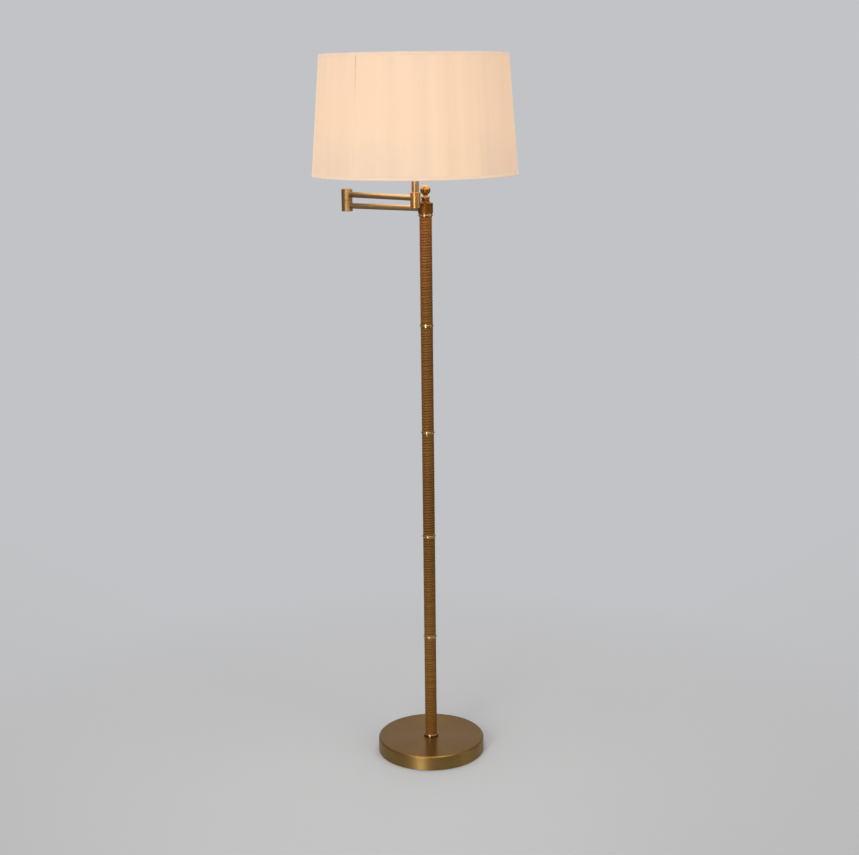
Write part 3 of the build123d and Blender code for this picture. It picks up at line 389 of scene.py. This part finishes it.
def silk_material():
    """Ivory silk on a laminate, lit from inside, with soft upright bands and one upright join."""
    s = Shader("silk")
    angle, height = s.around(HUB_AXIS)[1:]
    bands = threads(s, angle, height, across=7.0, along=1.3)
    clouds = threads(s, angle, height, across=2.2, along=7.0)
    slubs = threads(s, angle, height, across=330.0, along=30.0)
    weft = threads(s, angle, height, across=12.0, along=1500.0)
    seam = seam_line(s, angle, height)
    colour = s.blend(s.span(bands, 0.0, BAND_SHADE), FABRIC, FABRIC_SHADOW)
    colour = s.blend(s.span(slubs, 0.0, SLUB_SHADE, *SLUBS), colour, FABRIC_SHADOW)
    colour = s.blend(seam, colour, GLOW_DIM_AND_SHADOW)
    far = s.distance(height, BULB.z)
    light = s.blend(s.span(far, 0.0, 1.0, *GLOW_REACH), GLOW, GLOW_EDGE)
    low = s.span(height, GLOW_LOW_SHARE, 0.0, SHADE_LOW, SHADE_LOW + GLOW_LOW_END)
    light = s.blend(low, light, GLOW_LOW)
    light = s.blend(s.span(clouds, 0.0, CLOUD_SHARE), light, GLOW_YELLOW)
    light = s.blend(s.span(bands, 0.0, BAND_DIM), light, GLOW_DIM_AND_SHADOW)
    light = s.blend(s.span(slubs, 0.0, SLUB_DIM, *SLUBS), light, GLOW_DIM_AND_SHADOW)
    light = s.blend(seam, light, GLOW_DIM_AND_SHADOW)
    s.set(Base_Color=colour, Roughness=0.85, Sheen_Weight=0.1, Sheen_Roughness=0.5)
    s.set(Emission_Color=light, Emission_Strength=1.0)
    s.set(Normal=s.bump(s.maths("ADD", slubs, weft), strength=0.25, distance=THREAD_DEPTH))
    return s.material


def tape_material():
    """The silk tape folded over the rims: more layers, so paler and less lit through, with painted shade
    on its outermost edges where the roll turns up or down.
    """
    s = Shader("tape")
    angle, height = s.around(HUB_AXIS)[1:]
    ribs = threads(s, angle, height, across=420.0, along=90.0)
    drift = threads(s, angle, height, across=9.0, along=2.0)
    above = s.maths("SUBTRACT", height, SHADE_LOW)
    below = s.maths("SUBTRACT", SHADE_HIGH, height)
    # Painted shade on the roll at each rim
    fold_shade = s.span(s.maths("MINIMUM", above, below), RIM_SHADE, 0.0, *RIM_FOLD_SHADE)
    colour = s.blend(s.span(ribs, 0.0, RIB_SHADE), TAPE, TAPE_SHADOW)
    light = s.blend(s.span(drift, 0.0, TAPE_DIM), TAPE_GLOW, GLOW_DIM_AND_SHADOW)
    s.set(Base_Color=s.blend(fold_shade, colour, GLOW_DIM_AND_SHADOW), Roughness=0.8, Sheen_Weight=0.1)
    s.set(Emission_Color=s.blend(fold_shade, light, GLOW_DIM_AND_SHADOW), Emission_Strength=1.0)
    s.set(Normal=s.bump(ribs, strength=0.3, distance=THREAD_DEPTH))
    return s.material


def lining_material():
    """White laminate inside the shade, bright near the bulb."""
    s = Shader("lining")
    mottle = s.noise(s.place((9, 9, 9)), detail=3.0, roughness=0.5)
    far = s.distance(s.split(s.point())[2], BULB.z)
    glow = s.blend(s.span(far, 0.0, 1.0, *LINING_REACH), LINING_GLOW, LINING_GLOW_EDGE)
    s.set(Base_Color=s.blend(mottle, LINING, LINING_SHADOW), Roughness=0.55)
    s.set(Emission_Color=glow, Emission_Strength=0.48)
    return s.material


OPAL = rgb(150, 146, 138)
OPAL_GLOW = (1.0, 0.80, 0.54, 1.0)
OPAL_GLOW_PALE = (1.0, 0.86, 0.64, 1.0)


def opal():
    """The lit opal glass of the bulb."""
    s = Shader("opal")
    cloud = s.noise(s.place((45, 45, 45)), detail=2.0, roughness=0.5)
    s.set(Base_Color=OPAL, Roughness=0.25)
    s.set(Emission_Color=s.blend(cloud, OPAL_GLOW, OPAL_GLOW_PALE), Emission_Strength=0.85)
    return s.material


GRIT = 25  # specks of the fine surface to each patch of tone
GRIT_DEPTH = 0.1 * MM


def plain(name, light, dark, roughness, scale=60.0, bump=0.1, metallic=0.0, **more):
    """A quiet material with mottled tone, varied gloss and a fine surface."""
    s = Shader(name)
    mottle = s.noise(s.place((scale,) * 3), detail=4.0, roughness=0.6)
    fine = s.noise(s.place((scale * GRIT,) * 3), detail=3.0, roughness=0.6)
    s.set(Base_Color=s.blend(s.span(mottle, 0.0, 1.0), light, dark), Metallic=metallic)
    s.set(Roughness=s.span(fine, roughness * 0.85, min(1.0, roughness * 1.15)))
    s.set(Normal=s.bump(fine, bump, GRIT_DEPTH), **more)
    return s.material


# Pieces
LATHE_STEPS = 256


def mesh_object(name, points, faces):
    """A new smooth object."""
    mesh = bpy.data.meshes.new(name)
    mesh.from_pydata(points, [], faces)
    mesh.update()
    made = bpy.data.objects.new(name, mesh)
    scene.collection.objects.link(made)
    mesh.polygons.foreach_set("use_smooth", [True] * len(mesh.polygons))
    return made


def crease(piece, degrees):
    """Smooth shading up to an angle, and sharp edges beyond it."""
    piece.data.set_sharp_from_angle(angle=math.radians(degrees))


def dress(piece, material, body, slot, *replaced):
    """Gives a new piece its material and body, and hides the CAD nodes that it stands for."""
    piece.data.materials.clear()
    piece.data.materials.append(material)
    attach(piece, body)
    if replaced:
        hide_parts(*replaced)
    return piece


def skin(sections, count, ring):
    """Faces between closed sections of count points, where a ring's last section joins its first."""
    faces = []
    for step in range(sections if ring else sections - 1):
        here = step * count
        there = (step + 1) % sections * count
        for index in range(count):
            after = (index + 1) % count
            faces.append((here + index, there + index, there + after, here + after))
    return faces


def lathe(name, outline, axis):
    """A round piece about a vertical axis, from its closed outline of (radius, height)."""
    points = []
    for step in range(LATHE_STEPS):
        turn = 2 * math.pi * step / LATHE_STEPS
        cos, sin = math.cos(turn), math.sin(turn)
        points += [(axis.x + r * cos, axis.y + r * sin, z) for r, z in outline]
    return mesh_object(name, points, skin(LATHE_STEPS, len(outline), ring=True))


# Cane binding: one flat strip wound round the tube between two rings
CANE_TURNS = 39  # in each of the five lengths, the count that fits the photograph best
CANE_STEPS = 30  # points round one turn
CANE_TUCK = 0.95  # turns that run on out of sight under each ring
CANE_FLANK = [(0.0, 0.5), (0.45, 0.5), (0.80, 0.38), (0.96, 0.18)]  # shares of thickness and width
CANE_SECTION = [(out, -across) for out, across in CANE_FLANK] + [(1.0, 0.0)] + CANE_FLANK[::-1]
CANE_FILL = 0.985  # the pitch that the widest stretch of the strip fills
CANE_WIDTHS = (0.95, 1.0)  # how its width and its height wander
CANE_HEIGHTS = (0.88, 1.0)


def cane_binding(name, low, high, seed):
    """A crowned strip on a helix, whose width and height wander a little as real cane does."""
    pitch = (high - low) / CANE_TURNS
    thick = CANE_OUTER - CANE_INNER
    pick = random.Random(seed)
    turns = CANE_TURNS - 1 + 2 * CANE_TUCK  # of the strip's middle, half a width inside each end
    wander = [(pick.uniform(*CANE_WIDTHS), pick.uniform(*CANE_HEIGHTS)) for _ in range(int(turns) + 3)]
    steps = int(turns * CANE_STEPS)
    points = []
    for step in range(steps + 1):
        turn = step / CANE_STEPS
        share = turn - int(turn)
        wide, tall = (
            a + (b - a) * share for a, b in zip(wander[int(turn)], wander[int(turn) + 1], strict=True)
        )
        z = low + pitch * (turn - CANE_TUCK + 0.5)
        angle = 2 * math.pi * turn
        for out, across in CANE_SECTION:
            r = CANE_INNER + thick * out * tall
            rise = pitch * wide * CANE_FILL * across
            points.append((r * math.cos(angle), r * math.sin(angle), z + rise))
    count = len(CANE_SECTION)
    ends = [tuple(range(count)), tuple(reversed(range(steps * count, (steps + 1) * count)))]
    strip = mesh_object(name, points, ends + skin(steps + 1, count, ring=False))
    crease(strip, degrees=70)
    return strip


def column():
    """The five bound lengths of the column."""
    material = cane()
    supports = ["base_collar", *COLUMN_RINGS, "top_collar"]
    for index, (below, above) in enumerate(zip(supports, supports[1:], strict=False), 1):
        piece = cane_binding(f"cane_{index}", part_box(below)[1].z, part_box(above)[0].z, index)
        dress(piece, material, "stand", "cane", f"column_binding_{index}")


# Shade: how far each layer lies inside its outer face and from its edges, and how thick it is
FABRIC_INSET = 0.6 * MM
FABRIC_MARGIN = 0.5 * MM
FABRIC_THICKNESS = 0.9 * MM
FABRIC_LIFT = 0.3 * MM  # of the fabric's free edge over its start
FABRIC_SAG = 0.12 * MM  # inwards, half way up
FABRIC_RIPPLES = ((0.10 * MM, 9, 0.6), (0.06 * MM, 23, 2.0))  # height, waves to a turn, phase
FABRIC_STEPS = 320
FABRIC_ROWS = 26
LINING_INSET = 1.7 * MM
LINING_MARGIN = 0.6 * MM
LINING_THICKNESS = 0.4 * MM
HEM_INSET = 0.05 * MM
HEM_TALL = 7.0 * MM
HEM_ROLL = 2.4 * MM  # height of the roll over the wire
HEM_REACH = 6.1 * MM  # width of the roll, from the outside to the inside
HEM_FULLNESS = 0.7  # 1 is half an ellipse, and less is squarer
HEM_STEPS = 8  # points round the roll
HEM_BEVEL = 0.3 * MM
TAPE_THICKNESS = 0.4 * MM
TAPE_UNDERSIDE = 0.42 * MM  # its inset, at the tape's free outer edge


def shade_radius(height):
    """Radius of the shade's outside at a height above its lower edge."""
    share = height / SHADE_HEIGHT
    return SHADE_BOTTOM_RADIUS + (SHADE_TOP_RADIUS - SHADE_BOTTOM_RADIUS) * share


def shade_cover(silk):
    """One sheet of silk taken once round the shade, with its end lapped over its start."""
    lap = SEAM_OVERLAP / SHADE_BOTTOM_RADIUS
    tall = SHADE_HEIGHT - 2 * FABRIC_MARGIN
    points = []
    for step in range(FABRIC_STEPS + 1):
        turn = (2 * math.pi + lap) * step / FABRIC_STEPS
        angle = SEAM_EDGE - lap + turn
        over = max(0.0, min(1.0, (turn - 2 * math.pi + lap) / lap))
        lift = FABRIC_LIFT * over * over * (3 - 2 * over)
        ripple = sum(high * math.sin(turn * waves + phase) for high, waves, phase in FABRIC_RIPPLES)
        for row in range(FABRIC_ROWS + 1):
            height = FABRIC_MARGIN + tall * row / FABRIC_ROWS
            slack = math.sin(math.pi * row / FABRIC_ROWS)
            r = shade_radius(height) - FABRIC_INSET + lift - (FABRIC_SAG - ripple) * slack
            points.append(
                (HUB_AXIS.x + r * math.cos(angle), HUB_AXIS.y + r * math.sin(angle), SHADE_LOW + height)
            )
    rows = FABRIC_ROWS + 1
    faces = [
        (step * rows + row, (step + 1) * rows + row, (step + 1) * rows + row + 1, step * rows + row + 1)
        for step in range(FABRIC_STEPS)
        for row in range(FABRIC_ROWS)
    ]
    piece = mesh_object("shade_silk", points, faces)
    thickness = piece.modifiers.new("thickness", "SOLIDIFY")
    thickness.thickness = FABRIC_THICKNESS
    thickness.offset = -1.0
    dress(piece, silk, "upper_arm", "shade_fabric", "shade_cover")


def shade_lining():
    """The stiff white cone that the silk lies on."""
    low, high = LINING_MARGIN, SHADE_HEIGHT - LINING_MARGIN
    outer, inner = LINING_INSET, LINING_INSET + LINING_THICKNESS
    outline = [
        (shade_radius(height) - inset, SHADE_LOW + height)
        for height, inset in ((low, outer), (high, outer), (high, inner), (low, inner))
    ]
    piece = lathe("shade_liner", outline, HUB_AXIS)
    crease(piece, degrees=30)
    return dress(piece, lining_material(), "upper_arm", "shade_lining", "shade_lining")


def hem(name, top):
    """The folded tape round one edge of the shade, a soft roll over the frame wire."""
    edge = SHADE_HEIGHT if top else 0.0
    inward = -1 if top else 1

    def at(inset, depth):
        height = edge + inward * depth
        return (shade_radius(height) - inset, SHADE_LOW + height)

    outline = [at(TAPE_UNDERSIDE, HEM_TALL), at(HEM_INSET, HEM_TALL - HEM_BEVEL)]
    for step in range(HEM_STEPS + 1):
        turn = math.pi * step / HEM_STEPS
        across = HEM_REACH / 2 - HEM_REACH / 2 * math.cos(turn)
        outline.append(at(across, HEM_ROLL - HEM_ROLL * math.sin(turn) ** HEM_FULLNESS))
    outline += [at(HEM_REACH, HEM_TALL), at(HEM_REACH - TAPE_THICKNESS, HEM_TALL)]
    if top:
        outline.reverse()
    piece = lathe(name, outline, HUB_AXIS)
    crease(piece, degrees=50)
    return piece


def shade():
    """The silk, its lining and the tape round both edges. Returns the lining."""
    tape = tape_material()
    shade_cover(silk_material())
    liner = shade_lining()
    for name, top in (("shade_hem_lower", False), ("shade_hem_upper", True)):
        replaced = "shade_top_trim" if top else "shade_bottom_trim"
        dress(hem(name, top), tape, "upper_arm", "shade_tape", replaced)
    return liner


# CAD nodes that are shown as they are, with a better surface
RIM_SLOPE = 0.6  # the normal's Z below which a face of the base belongs to its rim


def finish_nodes(material, *names):
    """Gives CAD nodes their material and smooth round faces."""
    for name in names:
        node = nodes[name]
        node.data.materials.clear()
        node.data.materials.append(material)
        node.data.polygons.foreach_set("use_smooth", [True] * len(node.data.polygons))
        crease(node, degrees=35)


def face_material(name, material, chosen):
    """Gives the chosen faces of a CAD node, by their direction, another material."""
    mesh = nodes[name].data
    mesh.materials.append(material)
    for face in mesh.polygons:
        face.material_index = len(mesh.materials) - 1 if chosen(face.normal) else 0


def brasswork():
    """The base, rings, head, arm and lampholder."""
    top = turned_brass("brass_base_top", COLUMN_AXIS, TOP_BRASS, roughness=0.31, brushed=0.65)
    rim = turned_brass("brass_base_rim", COLUMN_AXIS, BASE_BRASS, roughness=0.46, brushed=0.82)
    ring = turned_brass("brass_ring", COLUMN_AXIS, RING_BRASS, roughness=0.16, patina=0.2)
    drum = turned_brass("brass_drum", COLUMN_AXIS, BRONZE, roughness=0.52)
    ball = turned_brass("brass_ball", COLUMN_AXIS, BALL_BRASS, roughness=0.26)
    elbow = turned_brass("brass_elbow", ELBOW_AXIS, ELBOW_BRASS, roughness=0.56, brushed=0.6)
    hub = turned_brass("brass_hub", HUB_AXIS, HUB_BRASS, roughness=0.36, brushed=0.7)
    holder = turned_brass("brass_holder", HUB_AXIS, ARM_BRASS, roughness=0.36, brushed=0.7)
    finish_nodes(top, "base_cover")
    face_material("base_cover", rim, lambda normal: normal.z < RIM_SLOPE)
    finish_nodes(ring, "base_collar", "top_collar", *COLUMN_RINGS)
    finish_nodes(drum, "head_drum")
    finish_nodes(ball, "finial")
    finish_nodes(elbow, "elbow_lower_knuckle", "elbow_upper_knuckle")
    finish_nodes(elbow, "elbow_lower_cap", "elbow_upper_cap")
    finish_nodes(hub, "lamp_hub", "hub_plug")
    finish_nodes(holder, "riser_tube", "lampholder_cap", "lampholder_shell")
    finish_nodes(holder, "shade_ring_lower", "shade_ring_upper")
    arms = (("lower_arm_tube", COLUMN_AXIS, ELBOW_AXIS), ("upper_arm_tube", ELBOW_AXIS, HUB_AXIS))
    for name, start, end in arms:
        turn = math.atan2(end.y - start.y, end.x - start.x)
        finish_nodes(drawn_brass(f"brass_{name}", turn, roughness=0.38, patina=0.15), name)


def small_parts():
    """The steel of the joints, what is inside the base and the shade, and the bulb."""
    steel = plain("steel", (0.58, 0.57, 0.55, 1), (0.42, 0.41, 0.40, 1), 0.32, metallic=1.0)
    # Painted shade: the column's tube is dark so the gaps between the cane's turns show as shade
    gap_shade = plain("blued_steel", (0.045, 0.04, 0.035, 1), (0.03, 0.026, 0.022, 1), 0.5, metallic=1.0)
    iron = plain("iron", (0.06, 0.06, 0.06, 1), (0.03, 0.03, 0.03, 1), 0.7, bump=0.5)
    felt = plain("felt", rgb(44, 40, 36), rgb(30, 27, 24), 0.95, scale=220.0, bump=0.8, Sheen_Weight=0.4)
    nylon = plain("nylon", rgb(74, 58, 36), rgb(60, 46, 28), 0.5)
    brown = plain("brown_plastic", rgb(52, 40, 32), rgb(40, 30, 24), 0.42)
    white = plain("white_wire", rgb(236, 233, 226), rgb(222, 218, 209), 0.38)
    china = plain("china", rgb(240, 238, 232), rgb(228, 225, 217), 0.18, Coat_Weight=0.4)
    cap = plain("bulb_metal", (0.72, 0.71, 0.69, 1), (0.58, 0.57, 0.55, 1), 0.3, metallic=1.0)
    bright = plain("contact_brass", (0.66, 0.47, 0.20, 1), (0.52, 0.36, 0.14, 1), 0.25, metallic=1.0)
    finish_nodes(steel, "head_spindle", "head_stop_pin", "finial_washer", "base_washer", "base_nut")
    finish_nodes(steel, "elbow_pin", "elbow_stop_pin", "elbow_spring_washer", "elbow_nut")
    finish_nodes(gap_shade, "column_tube")
    finish_nodes(iron, "base_weight")
    finish_nodes(felt, "base_felt")
    finish_nodes(nylon, "head_thrust_washer", "elbow_washer")
    finish_nodes(brown, "cord_bush", "switch_bar")
    finish_nodes(white, "fitter_ring", "shade_spokes", "shade_bottom_wire", "shade_top_wire")
    finish_nodes(china, "lampholder_core")
    finish_nodes(cap, "bulb_cap")
    finish_nodes(bright, "lampholder_screw_shell", "lampholder_contact")
    finish_nodes(opal(), "bulb_glass")
    nodes["bulb_glass"].visible_shadow = False


# Stage: a pale floor that runs out into a pale background, lights and camera
FLOOR = rgb(189, 189, 189)
FLOOR_MOTTLE = rgb(178, 178, 180)
BACKDROP = rgb(194, 195, 198)
FRONT = rgb(185, 184, 184)  # the background on the camera's side
FRONT_TO_BACK = (-0.6, 0.9)  # the share along Y from FRONT to BACKDROP
AMBIENT = (0.23, 0.232, 0.238, 1.0)
DARK_ROOM = (0.32, 0.31, 0.30, 1.0)
ROOM_TO_BACK = (0.55, 0.92)  # the share along Y from DARK_ROOM to BACKDROP
FLOOR_RADIUS = 30.0
FLOOR_SIDES = 64
FLOOR_FADE = (0.30, 1.2)  # radius from the lit floor to the background


def surround(g, ahead):
    """The background in a direction, by its share along Y: FRONT behind the camera, BACKDROP ahead."""
    return g.blend(g.span(ahead, 0.0, 1.0, *FRONT_TO_BACK), FRONT, BACKDROP)


def floor_material():
    """Grey paper, lit and shaded near the lamp, and the background's colour far away."""
    s = Shader("paper")
    mottle = s.noise(s.place((1.2, 1.2, 1.2)), detail=2.0, roughness=0.5)
    s.set(Base_Color=s.blend(s.span(mottle, 0.0, 0.05), FLOOR, FLOOR_MOTTLE))
    s.set(Roughness=0.95, Specular_IOR_Level=0.0)
    seen = s.add("ShaderNodeLightPath").outputs["Is Camera Ray"]
    radius = s.around(COLUMN_AXIS)[0]
    far = s.span(radius, 0.0, 1.0, *FLOOR_FADE)
    ahead = s.maths("DIVIDE", s.split(s.point())[1], radius)
    flat = s.add("ShaderNodeEmission", {"Color": surround(s, ahead), "Strength": 1.0}).outputs[0]
    share = s.maths("MULTIPLY", far, seen)
    mix = s.add("ShaderNodeMixShader", {0: share, 1: s.bsdf.outputs[0], 2: flat})
    s.feed(s.tree.nodes["Material Output"].inputs["Surface"], mix.outputs[0])
    return s.material


def floor():
    """A wide round sheet that the lamp stands on."""
    turns = [2 * math.pi * step / FLOOR_SIDES for step in range(FLOOR_SIDES)]
    points = [(FLOOR_RADIUS * math.cos(turn), FLOOR_RADIUS * math.sin(turn), 0.0) for turn in turns]
    sheet = mesh_object("stage_floor", points, [tuple(range(FLOOR_SIDES))])
    sheet.data.materials.append(floor_material())


def area_light(name, place, target, size, power, mirrored):
    """A soft box, either seen in polished metal or left out of its reflections."""
    data = bpy.data.lights.new(name, "AREA")
    data.shape = "RECTANGLE"
    data.size, data.size_y = size
    data.energy = power
    light = bpy.data.objects.new(name, data)
    light.location = place
    light.rotation_mode = "QUATERNION"
    light.rotation_quaternion = (Vector(target) - Vector(place)).to_track_quat("-Z", "Y")
    light.visible_camera = False
    light.visible_glossy = mirrored
    scene.collection.objects.link(light)


def world_light():
    """Soft light from all round, the pale background, and the dim room that polished metal reflects."""
    world = bpy.data.worlds.new("studio")
    world.use_nodes = True
    scene.world = world
    g = Graph(world.node_tree)
    ahead = g.split(g.add("ShaderNodeTexCoord").outputs["Generated"])[1]
    path = g.add("ShaderNodeLightPath").outputs
    room = g.blend(g.span(ahead, 0.0, 1.0, *ROOM_TO_BACK), DARK_ROOM, BACKDROP)
    colour = g.blend(path["Is Glossy Ray"], AMBIENT, room)
    seen = g.maths("MAXIMUM", path["Is Camera Ray"], path["Is Transmission Ray"])
    background = g.tree.nodes["Background"].inputs["Color"]
    g.feed(background, g.blend(seen, colour, surround(g, ahead)))


# The lamp's own light: the bulb's, and what the lining sends down
BULB_POWER = 3.2
BULB_COLOUR = (1.0, 0.80, 0.56)
BULB_SOFTNESS = 28 * MM
LINING_POWER = 0.70
LINING_COLOUR = (1.0, 0.88, 0.72)
LINING_LIGHT_MARGIN = 10 * MM  # inside the shade's lower edge


def lamp_light(name, kind, place, power, colour):
    """A light in the shade, which moves with it."""
    data = bpy.data.lights.new(name, kind)
    data.energy = power
    data.color = colour
    light = bpy.data.objects.new(name, data)
    light.location = place
    light.visible_camera = False
    light.parent = frame["bodies"]["upper_arm"]
    scene.collection.objects.link(light)
    return light


def lit_shade(liner):
    """The bulb, and the light of the lining that comes down through the open shade.

    The lining glows by itself, so both lights spare it.
    """
    spared = bpy.data.collections.new("lights_spare")
    spared.objects.link(liner)
    spared.collection_objects[0].light_linking.link_state = "EXCLUDE"
    bulb = lamp_light("bulb", "POINT", BULB, BULB_POWER, BULB_COLOUR)
    bulb.data.shadow_soft_size = BULB_SOFTNESS
    place = (HUB_AXIS.x, HUB_AXIS.y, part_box("lampholder_cap")[0].z)
    glow = lamp_light("glow", "AREA", place, LINING_POWER, LINING_COLOUR)
    glow.data.shape = "DISK"
    glow.data.size = 2 * (SHADE_BOTTOM_RADIUS - LINING_LIGHT_MARGIN)
    for light in (bulb, glow):
        light.light_linking.receiver_collection = spared


def lights(liner):
    """The studio's soft boxes, by place, target, size, power and whether metal mirrors them."""
    area_light("key", (-1.1, -3.2, 1.9), (0, 0, 0.9), (2.0, 2.0), 34.0, False)
    area_light("fill", (2.4, -2.4, 1.5), (0, 0, 0.8), (1.2, 2.0), 21.0, False)
    area_light("left", (-3.2, -0.8, 1.5), (0, 0, 1.1), (1.6, 2.0), 10.0, False)
    area_light("overhead", (0.0, 0.3, 3.9), (0, 0.3, 0.0), (3.0, 3.0), 84.0, True)
    area_light("strip", (-1.55, -3.05, 1.45), (0, 0, 0.9), (0.9, 2.4), 32.0, True)
    area_light("low", (-0.89, -2.4, 0.42), (0, 0, 0.05), (0.4, 0.6), 16.0, True)
    area_light("side", (3.3, -0.7, 1.3), (0, 0, 0.9), (0.9, 2.2), 9.0, True)
    area_light("rear", (0.9, 3.2, 1.8), (0, 0, 0.8), (1.8, 2.0), 14.0, False)
    world_light()
    lit_shade(liner)


# The camera, fitted to the photograph: its base, rings and both rims of the shade
FOCAL_PIXELS = 1489.8
PHOTO_WIDTH = 859  # pixels
SENSOR_WIDTH = 36.0  # millimetres
CAMERA_PLACE = (0.0037, -3.3104, 1.5383)
CAMERA_PITCH = 12.802  # degrees down
CAMERA_ROLL = 0.607  # degrees


def camera():
    """The photograph's view."""
    data = bpy.data.cameras.new("camera")
    data.sensor_width = SENSOR_WIDTH
    data.lens = FOCAL_PIXELS / PHOTO_WIDTH * SENSOR_WIDTH
    view = bpy.data.objects.new("camera", data)
    turn = Matrix.Rotation(math.radians(90 - CAMERA_PITCH), 4, "X")
    roll = Matrix.Rotation(math.radians(-CAMERA_ROLL), 4, "Z")
    view.matrix_world = Matrix.Translation(CAMERA_PLACE) @ turn @ roll
    scene.collection.objects.link(view)
    scene.camera = view


scene.view_settings.view_transform = "Standard"
camera()
column()
liner = shade()
brasswork()
small_parts()
floor()
lights(liner)
